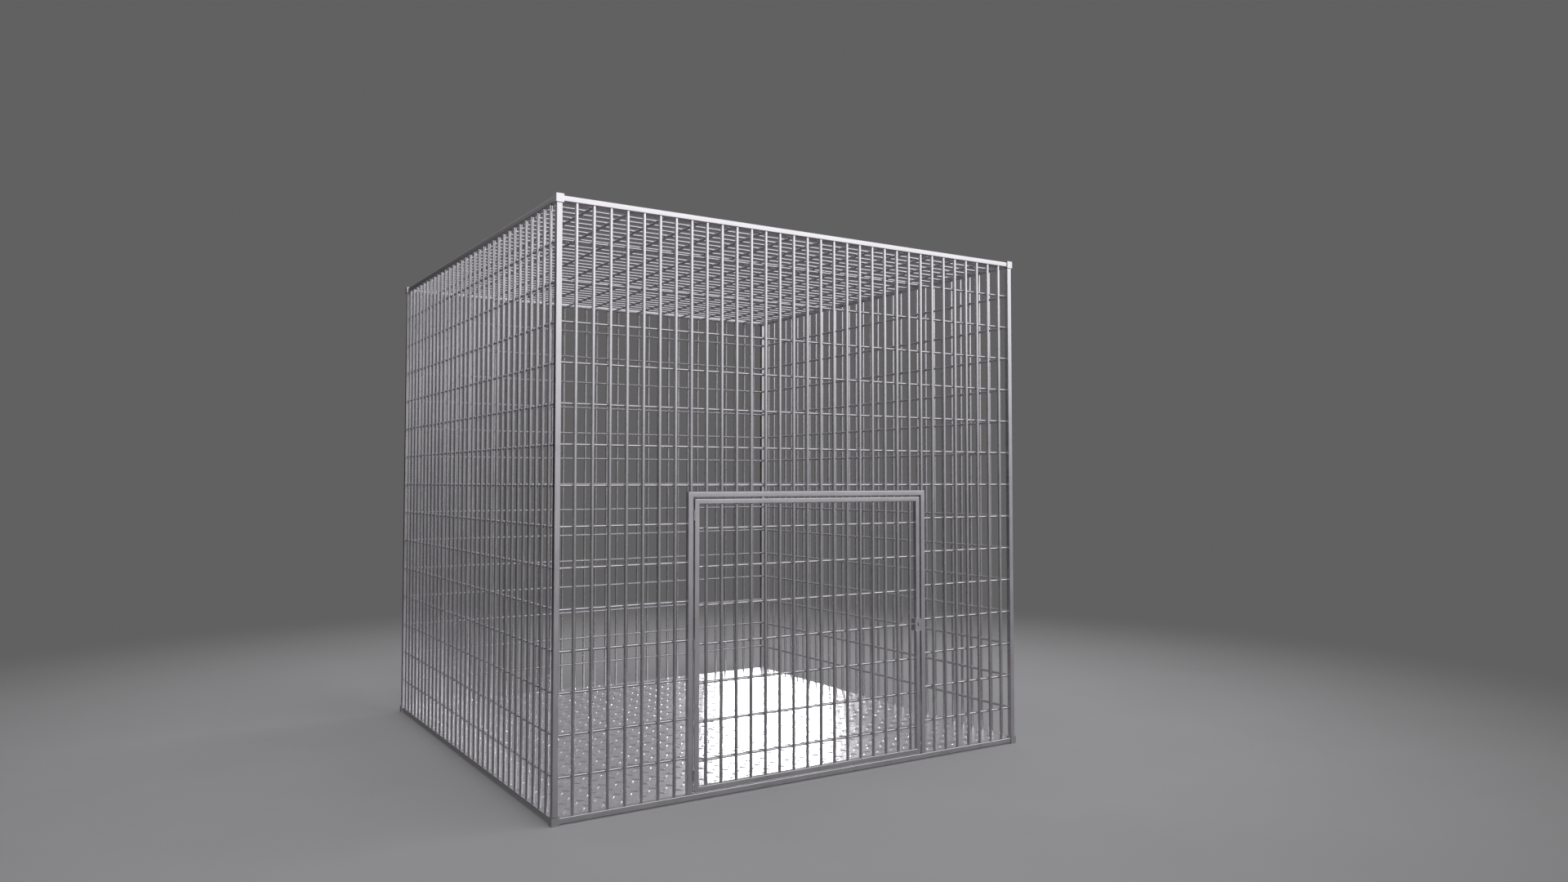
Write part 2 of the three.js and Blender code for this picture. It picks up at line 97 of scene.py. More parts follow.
HINGES = ("lower", "middle", "upper")
HINGE_SIDES = 24
PIN_RADIUS = 0.002
CAP_CHAMFER = 0.0009  # chamfer of a pin's head, and twice that of a knuckle
CASE_ROUND = 0.0012
CASE_WALL = 0.0015
COVER_ROUND = 0.0009
KEYHOLE_WIDTH = 0.0042
KEYHOLE_HEIGHT = 0.0135
STRIKE_ROOM = 0.001  # round the bolt, where it enters the jamb

X, Y, Z = Vector((1, 0, 0)), Vector((0, 1, 0)), Vector((0, 0, 1))


def middle(node):
    low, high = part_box(node)
    return (low + high) / 2


HALF = middle("post_front_right").x  # cage's centre to a post's axis
SPAN = 2 * HALF
TUBE = 2 * (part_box("post_front_right")[1].x - HALF)
CONNECTOR = 2 * (cad_box[1].x - HALF)
LOW = middle("bottom_rail_front").z
HIGH = middle("top_rail_front").z
CENTRE_Z = (LOW + HIGH) / 2
INNER = HALF - TUBE / 2  # cage's centre to the near face of a tube
BAR_PITCH = SPAN / BAR_CELLS
ROD_PITCH = SPAN / ROD_CELLS
JAMB_X = middle("jamb_lock_side_lower").x
HEADER_Z = middle("door_header").z
STILE_X = middle("leaf_stile_lock_side_lower").x
LEAF_TUBE = 2 * (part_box("leaf_stile_lock_side_lower")[1].x - STILE_X)
LEAF_LOW = middle("leaf_rail_bottom").z
LEAF_HIGH = middle("leaf_rail_top").z
LEAF_Z = (LEAF_LOW + LEAF_HIGH) / 2


# ------------------------------------------------------------------ materials

def add_node(tree, kind, **values):
    """A new node, with its properties and unlinked inputs set by name."""
    node = tree.nodes.new(kind)
    for name, value in values.items():
        if hasattr(node, name):
            setattr(node, name, value)
        else:
            node.inputs[name.replace("_", " ").capitalize()].default_value = value
    return node


def bare_material(name):
    """A material, its node tree, and the socket that its surface goes into."""
    material = bpy.data.materials.new(name)
    material.use_nodes = True
    tree = material.node_tree
    tree.nodes.clear()
    output = tree.nodes.new("ShaderNodeOutputMaterial")
    return material, tree, output.inputs["Surface"]


def new_material(name):
    """A material, its node tree and its Principled shader."""
    material, tree, surface = bare_material(name)
    shader = tree.nodes.new("ShaderNodeBsdfPrincipled")
    tree.links.new(shader.outputs["BSDF"], surface)
    return material, tree, shader


def noise(tree, scale, detail, stretch=(1, 1, 1)):
    """Noise fixed to the piece. Its detail is drawn out along an axis whose stretch is small."""
    place = add_node(tree, "ShaderNodeTexCoord")
    mapping = add_node(tree, "ShaderNodeMapping")
    mapping.inputs["Scale"].default_value = stretch
    field = add_node(tree, "ShaderNodeTexNoise", scale=scale, detail=detail, roughness=0.55)
    tree.links.new(place.outputs["Object"], mapping.inputs["Vector"])
    tree.links.new(mapping.outputs["Vector"], field.inputs["Vector"])
    return field.outputs["Fac"]


def spread(tree, source, low, high):
    """The middle of a noise's range, stretched over low to high."""
    ramp = add_node(tree, "ShaderNodeMapRange")
    ramp.inputs["From Min"].default_value = 0.3
    ramp.inputs["From Max"].default_value = 0.7
    ramp.inputs["To Min"].default_value = low
    ramp.inputs["To Max"].default_value = high
    tree.links.new(source, ramp.inputs["Value"])
    return ramp.outputs["Result"]


def combined(tree, first, second, operation="ADD"):
    node = add_node(tree, "ShaderNodeMath", operation=operation)
    tree.links.new(first, node.inputs[0])
    tree.links.new(second, node.inputs[1])
    return node.outputs["Value"]


def mixed(tree, share, first, second):
    """A colour between first and second. Each is a colour or a socket."""
    node = add_node(tree, "ShaderNodeMix", data_type="RGBA")
    tree.links.new(share, node.inputs["Factor"])
    # The node has sockets of several types: its colours go in at 6 and 7 and come out at 2.
    for value, socket in ((first, node.inputs[6]), (second, node.inputs[7])):
        if isinstance(value, bpy.types.NodeSocket):
            tree.links.new(value, socket)
        else:
            socket.default_value = value
    return node.outputs[2]


def grey(level, warmth=0.0):
    """A steel grey. Cold greys lean to violet, as bright steel does under a cool light."""
    return (level * (1 + warmth), level * (1 - 0.012), level * (1.035 - warmth), 1)


def steel(name, level, roughness, stretch, grain_depth=0.000012, smudge=0.03):
    """Satin steel: fine grain along one axis, faint smudges, and corners polished by handling."""
    material, tree, shader = new_material(name)
    grain = noise(tree, 900, 3, stretch)
    cloud = noise(tree, 7, 5)
    patch = noise(tree, 38, 4)
    worn = add_node(tree, "ShaderNodeAttribute", attribute_name="wear")

    body = mixed(tree, spread(tree, cloud, 0, 1), grey(level * 0.95), grey(level * 1.05, 0.01))
    streaked = mixed(tree, spread(tree, grain, 0, 0.2), body, grey(level * 0.85))
    rub = combined(tree, worn.outputs["Fac"], spread(tree, patch, 0.35, 1), "MULTIPLY")
    tree.links.new(mixed(tree, rub, streaked, grey(min(level * 1.2, 0.92))), shader.inputs["Base Color"])

    cloudy = spread(tree, cloud, roughness - smudge, roughness + smudge)
    uneven = combined(tree, cloudy, spread(tree, grain, -0.04, 0.04))
    polish = add_node(tree, "ShaderNodeMath", operation="MULTIPLY")
    polish.inputs[1].default_value = -0.08
    tree.links.new(rub, polish.inputs[0])
    tree.links.new(combined(tree, uneven, polish.outputs["Value"]), shader.inputs["Roughness"])

    bump = add_node(tree, "ShaderNodeBump", strength=0.6, distance=grain_depth)
    tree.links.new(combined(tree, grain, patch), bump.inputs["Height"])
    tree.links.new(bump.outputs["Normal"], shader.inputs["Normal"])
    shader.inputs["Metallic"].default_value = 1
    return material


def weld_steel(name):
    """Weld metal: rippled, rougher than the bars, with a faint straw and blue heat tint."""
    material, tree, shader = new_material(name)
    ripple = noise(tree, 700, 2)
    heat = noise(tree, 60, 3)
    straw, blue = (0.55, 0.51, 0.46, 1), (0.45, 0.46, 0.51, 1)
    tint = mixed(tree, spread(tree, heat, 0, 1), straw, blue)
    tree.links.new(mixed(tree, spread(tree, ripple, 0, 0.7), tint, grey(0.62)), shader.inputs["Base Color"])
    tree.links.new(spread(tree, ripple, 0.34, 0.56), shader.inputs["Roughness"])
    bump = add_node(tree, "ShaderNodeBump", strength=0.5, distance=0.0001)
    tree.links.new(ripple, bump.inputs["Height"])
    tree.links.new(bump.outputs["Normal"], shader.inputs["Normal"])
    shader.inputs["Metallic"].default_value = 1
    return material


# The grain of each direction: a small number draws the noise out along that axis.
GRAIN = {"x": (0.012, 1, 1), "y": (1, 0.012, 1), "z": (1, 1, 0.012)}
TUBES = {axis: steel(f"tube_steel_{axis}", 0.66, 0.31, stretch, 0.000008) for axis, stretch in GRAIN.items()}
BARS = {axis: steel(f"bar_steel_{axis}", 0.66, 0.25, stretch, 0.000005) for axis, stretch in GRAIN.items()}
CONNECTOR_STEEL = steel("connector_steel", 0.66, 0.30, (1, 1, 1), 0.00002)
HINGE_STEEL = steel("hinge_steel", 0.62, 0.28, (1, 1, 1))
LOCK_STEEL = steel("lock_steel", 0.66, 0.28, GRAIN["z"])
INNER_STEEL = steel("inner_steel", 0.40, 0.42, (1, 1, 1), 0.00002)
PLATE_STEEL = steel("tread_plate_steel", 0.70, 0.24, (1, 1, 1), 0.000004, 0.015)
WELD = weld_steel("weld_steel")


# ------------------------------------------------------------------ pieces

class Shell:
    """Closed forms gathered into one piece. Each point keeps how worn it is, from 0 to 1."""

    def __init__(self):
        self.points = []
        self.wear = []
        self.faces = []
        self.finishes = []

    def loft(self, rings, wear=None, finish=0, hollow=False):
        """Skins rings of points. A hollow form's last ring joins its first; others are capped.

        Wear holds a list for each ring. Without it the form isn't worn.
        """
        first = len(self.points)
        count = len(rings[0])
        for ring, worn in zip(rings, wear or [[0.0] * count] * len(rings)):
            self.points.extend(ring)
            self.wear.extend(worn)
        pairs = [(index, index + 1) for index in range(len(rings) - 1)]
        if hollow:
            pairs.append((len(rings) - 1, 0))
        faces = []
        for near, far in pairs:
            for step in range(count):
                a, b = first + near * count, first + far * count
                after = (step + 1) % count
                faces.append((a + step, a + after, b + after, b + step))
        if not hollow:
            last = first + (len(rings) - 1) * count
            faces.append(tuple(range(first + count - 1, first - 1, -1)))
            faces.append(tuple(range(last, last + count)))
        self.faces.extend(faces)
        self.finishes.extend([finish] * len(faces))

    def piece(self, name, materials, place=Matrix()):
        """The mesh object of what was gathered, with flat faces kept flat and corners smooth."""
        mesh = bpy.data.meshes.new(name)
        mesh.from_pydata([place @ point for point in self.points], [], self.faces)
        mesh.polygons.foreach_set("material_index", self.finishes)
        mesh.attributes.new("wear", "FLOAT", "POINT").data.foreach_set("value", self.wear)
        for material in materials:
            mesh.materials.append(material)
        obj = bpy.data.objects.new(name, mesh)
        bpy.context.scene.collection.objects.link(obj)
        face_outwards(mesh)
        smooth(obj)
        return obj


def face_outwards(mesh):
    body = bmesh.new()
    body.from_mesh(mesh)
    bmesh.ops.recalc_face_normals(body, faces=body.faces)
    body.to_mesh(mesh)
    body.free()


def smooth(obj):
    """Shades round faces smooth, and keeps flat faces and sharp corners."""
    obj.data.shade_smooth()
    obj.data.set_sharp_from_angle(angle=math.radians(38))
    normals = obj.modifiers.new("flat_faces", "WEIGHTED_NORMAL")
    normals.keep_sharp = True


def settle(obj, body, slot, *nodes):
    """Hangs a piece on a body and has it stand for CAD nodes."""
    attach(obj, body)
    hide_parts(*nodes)


def outline(width, height, radius, steps=CORNER_STEPS):
    """A rectangle with round corners: its points, and how worn each is, most at mid corner."""
    points = []
    wear = []
    for quarter, (side, rise) in enumerate(((1, 1), (-1, 1), (-1, -1), (1, -1))):
        centre = (side * (width / 2 - radius), rise * (height / 2 - radius))
        for step in range(steps + 1):
            turn = step / steps
            angle = (quarter + turn) * math.pi / 2
            points.append((centre[0] + radius * math.cos(angle), centre[1] + radius * math.sin(angle)))
            wear.append(1 - abs(2 * turn - 1))
    return points, wear


def circle(radius_x, radius_y, sides):
    turns = [2 * math.pi * step / sides for step in range(sides)]
    return [(radius_x * math.cos(turn), radius_y * math.sin(turn)) for turn in turns]


def add_tube(shell, place, width, height, length, slopes=(0, 0)):
    """A hollow tube along place's Z, centred. A slope slants an end for a mitre, along place's X."""
    outside, wear = outline(width, height, TUBE_ROUND)
    inside, _ = outline(width - 2 * TUBE_WALL, height - 2 * TUBE_WALL, TUBE_ROUND / 3)
    ends = ((-length / 2, slopes[0]), (length / 2, slopes[1]))
    rings = []
    for section, order in ((outside, ends), (inside, ends[::-1])):
        for z, slope in order:
            rings.append([place @ Vector((x, y, z + slope * x)) for x, y in section])
    shell.loft(rings, [wear] * len(rings), hollow=True)


def add_round(shell, place, profile, sides, finish=0, depth_share=1.0):
    """A solid turned about place's Z. Its profile lists (radius, height). Depth is along place's Y."""
    rings = []
    for radius, height in profile:
        ring = circle(radius, radius * depth_share, sides)
        rings.append([place @ Vector((x, y, height)) for x, y in ring])
    shell.loft(rings, finish=finish)


def axes(across, depth, along, origin=(0, 0, 0)):
    """The placing whose X, Y and Z lie along three directions."""
    turned = Matrix((across, depth, along)).transposed().to_4x4()
    turned.translation = Vector(origin)
    return turned


def block(place, width, height, length, edge):
    """A block centred on place, its length along Z, with four round edges and shallow dished ends."""
    insets = [edge * (1 - math.sin(step / BLOCK_STEPS * math.pi / 2)) for step in range(BLOCK_STEPS + 1)]
    stations = [(inset - length / 2, inset) for inset in insets]
    stations += [(-z, inset) for z, inset in reversed(stations)]
    rings = []
    wears = []
    for z, inset in stations:
        section, wear = outline(width - 2 * inset, height - 2 * inset, max(edge - inset, LEAST_ROUND))
        rings.append([place @ Vector((x, y, z)) for x, y in section])
        wears.append(wear)
    shell = Shell()
    shell.loft(rings, wears)
    return shell


# ------------------------------------------------------------------ frame

def connector_piece(node):
    """A corner connector's cube, over the CAD cube and its spigots."""
    x, y, _ = (math.copysign(HALF, value) for value in middle(node))
    z = LOW if middle(node).z < CENTRE_Z else HIGH
    cube = block(Matrix.Translation((x, y, z)), CONNECTOR, CONNECTOR, CONNECTOR, CONNECTOR_ROUND)
    settle(cube.piece(f"visual_{node}", [CONNECTOR_STEEL]), "cage", "connectors", node)


def frame_tube(node, axis):
    """A frame member between two connectors."""
    directions = {"x": (Y, Z, X), "y": (Z, X, Y), "z": (X, Y, Z)}
    low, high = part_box(node)
    length = max(high - low) + 2 * CLEARANCE
    shell = Shell()
    add_tube(shell, axes(*directions[axis], middle(node)), TUBE, TUBE, length)
    settle(shell.piece(f"visual_{node}", [TUBES[axis]]), "cage", "tube", node)


def make_frame():
    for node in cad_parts:
        if node.startswith("corner_"):
            connector_piece(node)
    for depth in ("front", "back"):
        for side in ("left", "right"):
            frame_tube(f"post_{depth}_{side}", "z")
    for level in ("bottom", "top"):
        for depth in ("front", "back"):
            frame_tube(f"{level}_rail_{depth}", "x")
        for side in ("left", "right"):
            frame_tube(f"{level}_rail_{side}", "y")


# ------------------------------------------------------------------ grilles

def add_member(shell, place, radius, length, finish):
    """A round bar or rod along place's Z from its origin, with a weld at each end."""
    add_round(shell, place, ((radius, 0), (radius, length)), ROUND_SIDES, finish)
    foot = radius + COLLAR_SPREAD
    depth_share = (radius + 0.0003) / foot
    collar = ((foot, 0), (radius + 0.0006, COLLAR_RISE * 0.45), (radius + 0.0001, COLLAR_RISE))
    flip = Matrix.Translation((0, 0, length)) @ Matrix.Diagonal((1, 1, -1, 1))
    for end in (place, place @ flip):
        add_round(shell, end, collar, COLLAR_SIDES, WELD_FINISH, depth_share)


def add_spot_weld(shell, x, z):
    """The weld metal in the four corners where a bar and a rod cross."""
    depth = (BAR_DEPTH + BAR_RADIUS + ROD_DEPTH - ROD_RADIUS) / 2
    wide, deep, tall = SPOT_WELD
    rings = []
    for rise, reach in ((-0.8, 0.6), (0, 1), (0.8, 0.6)):
        ring = circle(wide * reach, tall * reach, SPOT_SIDES)
        rings.append([Vector((x + a, depth + deep * rise, z + b)) for a, b in ring])
    shell.loft(rings, finish=WELD_FINISH)


def grille_piece(name, place, bars, bar_ends, rods, rod_ends, grains, body, node, middle_end=None):
    """Upright bars outside and level rods inside, in place's XZ plane, welded at each crossing.

    Grains names the axes that the bars and the rods lie along. The middle rod ends at middle_end,
    where that is given.
    """
    shell = Shell()
    for x in bars:
        upright = axes(X, Y, Z, (x, BAR_DEPTH, bar_ends[0]))
        add_member(shell, upright, BAR_RADIUS, bar_ends[1] - bar_ends[0], BAR_FINISH)
    for z in rods:
        near, far = rod_ends
        if middle_end and abs(z) < ROD_PITCH / 2:
            far = middle_end
        level = axes(Z, Y, X, (near, ROD_DEPTH, z))
        add_member(shell, level, ROD_RADIUS, far - near, ROD_FINISH)
        for x in bars:
            if near < x < far and bar_ends[0] < z < bar_ends[1]:
                add_spot_weld(shell, x, z)
    along_bar, along_rod = grains
    obj = shell.piece(name, [BARS[along_bar], BARS[along_rod], WELD], place)
    settle(obj, body, "bars", node)


def places(numbers, pitch):
    """Where bars or rods stand across a wall, by number from its edge."""
    return [number * pitch - HALF for number in numbers]


def make_grilles():
    bars = places(range(1, BAR_CELLS), BAR_PITCH)
    rods = places(range(1, ROD_CELLS), ROD_PITCH)
    full = (-INNER, INNER)
    walls = (
        ("left", axes(-Y, X, Z, (-HALF, 0, CENTRE_Z)), "zy"),
        ("right", axes(Y, -X, Z, (HALF, 0, CENTRE_Z)), "zy"),
        ("back", axes(-X, -Y, Z, (0, HALF, CENTRE_Z)), "zx"),
        ("roof", axes(Y, -Z, -X, (0, 0, HIGH)), "xy"),
    )
    for side, place, grains in walls:
        grille_piece(f"bars_{side}", place, bars, full, rods, full, grains, "cage", f"grille_{side}")

    front = axes(X, Y, Z, (0, -HALF, CENTRE_Z))
    jamb_face = JAMB_X + TUBE / 2
    beside = [x for x in bars if x > jamb_face]
    grille_piece("bars_front_right", front, beside, full, rods, (jamb_face, INNER), "zx",
                 "cage", "grille_front_right")
    grille_piece("bars_front_left", front, [-x for x in beside], full, rods, (-INNER, -jamb_face), "zx",
                 "cage", "grille_front_left")
    over = HEADER_Z + TUBE / 2 - CENTRE_Z
    between = [x for x in bars if abs(x) < jamb_face]
    above = [z for z in rods if z > over]
    grille_piece("bars_front_over_door", front, between, (over, INNER), above, (-jamb_face, jamb_face), "zx",
                 "cage", "grille_front_over_door")

    leaf = axes(X, Y, Z, (0, -HALF, LEAF_Z))
    inside = STILE_X - LEAF_TUBE / 2
    reach = (LEAF_HIGH - LEAF_LOW - LEAF_TUBE) / 2
    leaf_rods = [(index - (LEAF_RODS - 1) / 2) * ROD_PITCH for index in range(LEAF_RODS)]
    grille_piece("bars_leaf", leaf, places(LEAF_BARS, BAR_PITCH), (-reach, reach), leaf_rods,
                 (-inside, inside), "zx", "door", "leaf_grille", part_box("lock_case")[0].x)


# ------------------------------------------------------------------ floor

def add_lug(shell, x, y, base, turn):
    """A lens-shaped lug with a crowned top, pointed at both ends."""
    place = Matrix.Translation((x, y, base)) @ Matrix.Rotation(turn, 4, "Z")
    rings = []
    for share, rise in LUG_CROWN:
        ring = []
        for step in range(LUG_SIDES):
            angle = 2 * math.pi * step / LUG_SIDES
            slim = math.cos(angle) * abs(math.cos(angle)) ** 0.25
            across = LUG_WIDTH / 2 * share * slim
            along = LUG_LENGTH / 2 * share * math.sin(angle)
            ring.append(place @ Vector((across, along, LUG_RISE * rise)))
        rings.append(ring)
    shell.loft(rings, [[1.0] * LUG_SIDES] * len(rings))


def make_plate():
    """The tread plate, notched round the connectors, with two crossed sets of lugs."""
    low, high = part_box("floor_plate")
    notch = HALF - CONNECTOR / 2 - PLATE_GAP
    edge = INNER - PLATE_GAP
    corners = [(edge, notch), (notch, notch), (notch, edge)]
    section = []
    for turn in range(4):
        spin = Matrix.Rotation(turn * math.pi / 2, 2)
        section.extend(spin @ Vector(corner) for corner in corners)
    sink = 0.0001  # keeps a lug's foot inside the plate
    top = high.z - LUG_RISE - sink
    shell = Shell()
    shell.loft([[Vector((x, y, z)) for x, y in section] for z in (low.z, top)])
    half_pitch = SPAN / LUG_PITCH_CELLS / 2
    for row in range(2 * LUG_PITCH_CELLS):
        for column in range(row % 2, 2 * LUG_PITCH_CELLS, 2):
            x = (column + 1 + LUG_SHIFT[0]) * half_pitch - HALF
            y = (row + 1 + LUG_SHIFT[1]) * half_pitch - HALF
            if max(abs(x), abs(y)) < INNER - LUG_LENGTH / 2:
                add_lug(shell, x, y, top - sink, math.radians(45 if row % 2 else -45))
    settle(shell.piece("tread_plate", [PLATE_STEEL]), "cage", "tread_plate", "floor_plate")


def make_bearers():
    for node in ("floor_bearer_1", "floor_bearer_2", "floor_bearer_3"):
        low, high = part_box(node)
        bearer = Shell()
        add_tube(bearer, axes(Z, X, Y, middle(node)), high.z - low.z, high.x - low.x, 2 * INNER)
        settle(bearer.piece(f"visual_{node}", [TUBES["y"]]), "cage", "tube", node)


# ------------------------------------------------------------------ door frame and leaf

def cut(obj, cutters):
    """Takes closed cutter pieces away from a piece."""
    for cutter in cutters:
        change = obj.modifiers.new("cut", "BOOLEAN")
        change.operation = "DIFFERENCE"
        change.solver = "EXACT"
        change.object = cutter
    obj.modifiers.remove(obj.modifiers["flat_faces"])
    view = bpy.context.evaluated_depsgraph_get()
    result = bpy.data.meshes.new_from_object(obj.evaluated_get(view))
    obj.modifiers.clear()
    obj.data = result
    for cutter in cutters:
        bpy.data.objects.remove(cutter)
    smooth(obj)


def block_cutter(low, high):
    """A plain block to cut with, from its lowest corner to its highest."""
    shell = Shell()
    ring = [(low[0], low[1]), (high[0], low[1]), (high[0], high[1]), (low[0], high[1])]
    shell.loft([[Vector((x, y, z)) for x, y in ring] for z in (low[2], high[2])])
    return shell.piece("cutter", [INNER_STEEL])


def hinge_cutters():
    """The hollows that the hinge barrels sit in."""
    cutters = []
    for name in HINGES:
        low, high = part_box(f"hinge_{name}_jamb_knuckle")
        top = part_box(f"hinge_{name}_pin")[1].z
        centre = (low + high) / 2
        radius = (high.x - low.x) / 2 + CLEARANCE
        shell = Shell()
        span = ((radius, low.z - CLEARANCE), (radius, top + CLEARANCE))
        add_round(shell, Matrix.Translation((centre.x, centre.y, 0)), span, HINGE_SIDES)
        cutters.append(shell.piece("cutter", [INNER_STEEL]))
    return cutters


def up_tube(name, side, x, bottom, top, slopes, body, *nodes):
    """An upright door tube. Its heights are those of its axis."""
    shell = Shell()
    place = axes(X, Y, Z, (x, -HALF, (bottom + top) / 2))
    add_tube(shell, place, side, side, top - bottom, slopes)
    obj = shell.piece(name, [TUBES["z"]])
    settle(obj, body, "tube", *nodes)
    return obj


def level_tube(name, side, reach, z, slopes, body, node):
    """A level door tube, reaching as far to the left as to the right."""
    shell = Shell()
    add_tube(shell, axes(-Z, Y, X, (0, -HALF, z)), side, side, 2 * reach, slopes)
    settle(shell.piece(name, [TUBES["x"]]), body, "tube", node)


def make_door_frame():
    bottom = LOW + TUBE / 2
    jamb = up_tube("jamb_hinges", TUBE, -JAMB_X, bottom, HEADER_Z, (0, -1), "cage", "jamb_hinge_side")
    cut(jamb, hinge_cutters())
    strike = up_tube("jamb_strike", TUBE, JAMB_X, bottom, HEADER_Z, (0, 1), "cage",
                     "jamb_lock_side_lower", "jamb_lock_side_upper", "bolt_keep")
    low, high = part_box("lock_bolt")
    passage = block_cutter((JAMB_X - TUBE, low.y - STRIKE_ROOM, low.z - STRIKE_ROOM),
                           (JAMB_X, high.y + STRIKE_ROOM, high.z + STRIKE_ROOM))
    cut(strike, [passage])
    level_tube("header", TUBE, JAMB_X, HEADER_Z, (1, -1), "cage", "door_header")


def make_leaf():
    case_low, case_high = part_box("lock_case")
    stile = up_tube("stile_hinges", LEAF_TUBE, -STILE_X, LEAF_LOW, LEAF_HIGH, (1, -1), "door",
                    "leaf_stile_hinge_side")
    cut(stile, hinge_cutters())
    up_tube("stile_lock_low", LEAF_TUBE, STILE_X, LEAF_LOW, case_low.z, (-1, 0), "door",
            "leaf_stile_lock_side_lower")
    up_tube("stile_lock_high", LEAF_TUBE, STILE_X, case_high.z, LEAF_HIGH, (0, 1), "door",
            "leaf_stile_lock_side_upper")
    level_tube("leaf_foot_rail", LEAF_TUBE, STILE_X, LEAF_LOW, (-1, 1), "door", "leaf_rail_bottom")
    level_tube("leaf_head_rail", LEAF_TUBE, STILE_X, LEAF_HIGH, (1, -1), "door", "leaf_rail_top")


# ------------------------------------------------------------------ hinges and lock

def turned_piece(node, name, body, profile):
    shell = Shell()
    add_round(shell, Matrix.Translation(middle(node)), profile, HINGE_SIDES)
    settle(shell.piece(name, [HINGE_STEEL]), body, "hinges", node)


def make_hinges():
    for place in HINGES:
        for part, body in (("jamb_knuckle", "cage"), ("leaf_knuckle", "door")):
            node = f"hinge_{place}_{part}"
            low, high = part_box(node)
            radius = (high.x - low.x) / 2
            tall = (high.z - low.z) / 2
            chamfer = CAP_CHAMFER / 2
            profile = ((radius - chamfer, -tall), (radius, chamfer - tall),
                       (radius, tall - chamfer), (radius - chamfer, tall))
            turned_piece(node, f"barrel_{place}_{body}", body, profile)
        node = f"hinge_{place}_pin"
        low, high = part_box(node)
        top = (high.z - low.z) / 2
        head = (high.x - low.x) / 2
        above_knuckle = 0.0002
        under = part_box(f"hinge_{place}_leaf_knuckle")[1].z - middle(node).z + above_knuckle
        profile = ((PIN_RADIUS, -top), (PIN_RADIUS, under), (head, under), (head, top - CAP_CHAMFER),
                   (head - CAP_CHAMFER, top))
        turned_piece(node, f"pin_{place}", "cage", profile)


def lock_block(node, edge):
    """A block over a part of the lock, its length from front to back."""
    low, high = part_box(node)
    size = high - low
    return block(axes(X, Z, Y, (low + high) / 2), size.x, size.z, size.y, edge)


def make_lock_case():
    """The case: hollow, open in front under the cover, with a slot for the bolt."""
    low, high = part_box("lock_case")
    case = lock_block("lock_case", CASE_ROUND).piece("lock_body", [LOCK_STEEL])
    hollow = block_cutter((low.x + CASE_WALL, low.y - CASE_WALL, low.z + CASE_WALL),
                          (high.x - CASE_WALL, high.y - CASE_WALL, high.z - CASE_WALL))
    bolt_low, bolt_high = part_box("lock_bolt")
    inside_wall = bolt_high.x - 0.004
    slot = block_cutter((inside_wall, bolt_low.y - CLEARANCE, bolt_low.z - CLEARANCE),
                        (high.x + CASE_WALL, bolt_high.y + CLEARANCE, bolt_high.z + CLEARANCE))
    settle(case, "door", "lock", "lock_case")
    cut(case, [hollow, slot])


def make_lock_cover():
    low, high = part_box("lock_cover")
    cover = lock_block("lock_cover", COVER_ROUND).piece("lock_face", [LOCK_STEEL])
    section, _ = outline(KEYHOLE_WIDTH, KEYHOLE_HEIGHT, KEYHOLE_WIDTH * 0.49, 5)
    centre = middle("lock_cover")
    keyhole = Shell()
    keyhole.loft([[Vector((centre.x + x, y, centre.z + z)) for x, z in section]
                  for y in (low.y - CASE_WALL, high.y + CASE_WALL)])
    cut(cover, [keyhole.piece("cutter", [INNER_STEEL])])
    settle(cover, "door", "lock", "lock_cover")


def finish_lock_insides():
    """The bolt and the key plug keep their CAD shapes, in a darker steel."""
    for node in ("lock_bolt", "key_plug"):
        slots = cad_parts[node].data.materials
        slots.clear()
        slots.append(INNER_STEEL)


# ------------------------------------------------------------------ stage, light and camera

BACKDROP = (0.120, 0.119, 0.121, 1)
BACKDROP_RADIUS = 50
FLOOR_REACH = 60
FLOOR_DEPTH = 0.05
FLOOR_FADE = (1.6, 5)  # distances from the cage's middle between which the floor fades out
FLOOR_SHADES = ((0.60, 0.60, 0.61, 1), (0.63, 0.63, 0.64, 1))

# The studio's brightness by the height of a direction, from -0.4 to 1, in front and behind.
STUDIO_PEAK = 2.0
STUDIO_LOWEST = -0.4
FRONT = ((-0.4, 0.17), (-0.12, 0.24), (0.0, 0.34), (0.06, 0.46), (0.12, 0.85), (0.2, 1.75), (0.36, 2.0),
         (0.6, 0.6), (1.0, 0.22))
BACK = ((-0.4, 0.13), (-0.08, 0.09), (0.0, 0.09), (0.1, 0.24), (0.25, 0.42), (0.6, 0.28), (1.0, 0.22))
FRONT_WAY = (0.62, -0.78, 0)
FLAG_WAY = (-0.5, 0.87, 0)

PLATE_LIGHT_SIZE = (1.2, 0.8)
PLATE_LIGHT_WATTS = 9.5
PLATE_LIGHT_PLACE = (3.95, 5.6, 1.62)
PLATE_LIGHT_AIM = (-0.1, 0.1, 0)

CAMERA_LENS = 24.456
CAMERA_PLACE = (-2.20197, -4.22317, 1.07932)
CAMERA_PITCH = 2.167  # degrees above level
CAMERA_YAW = -32.634  # degrees, turned to the right of straight ahead


def backdrop_glow(tree):
    glow = add_node(tree, "ShaderNodeEmission")
    glow.inputs["Color"].default_value = BACKDROP
    return glow.outputs["Emission"]


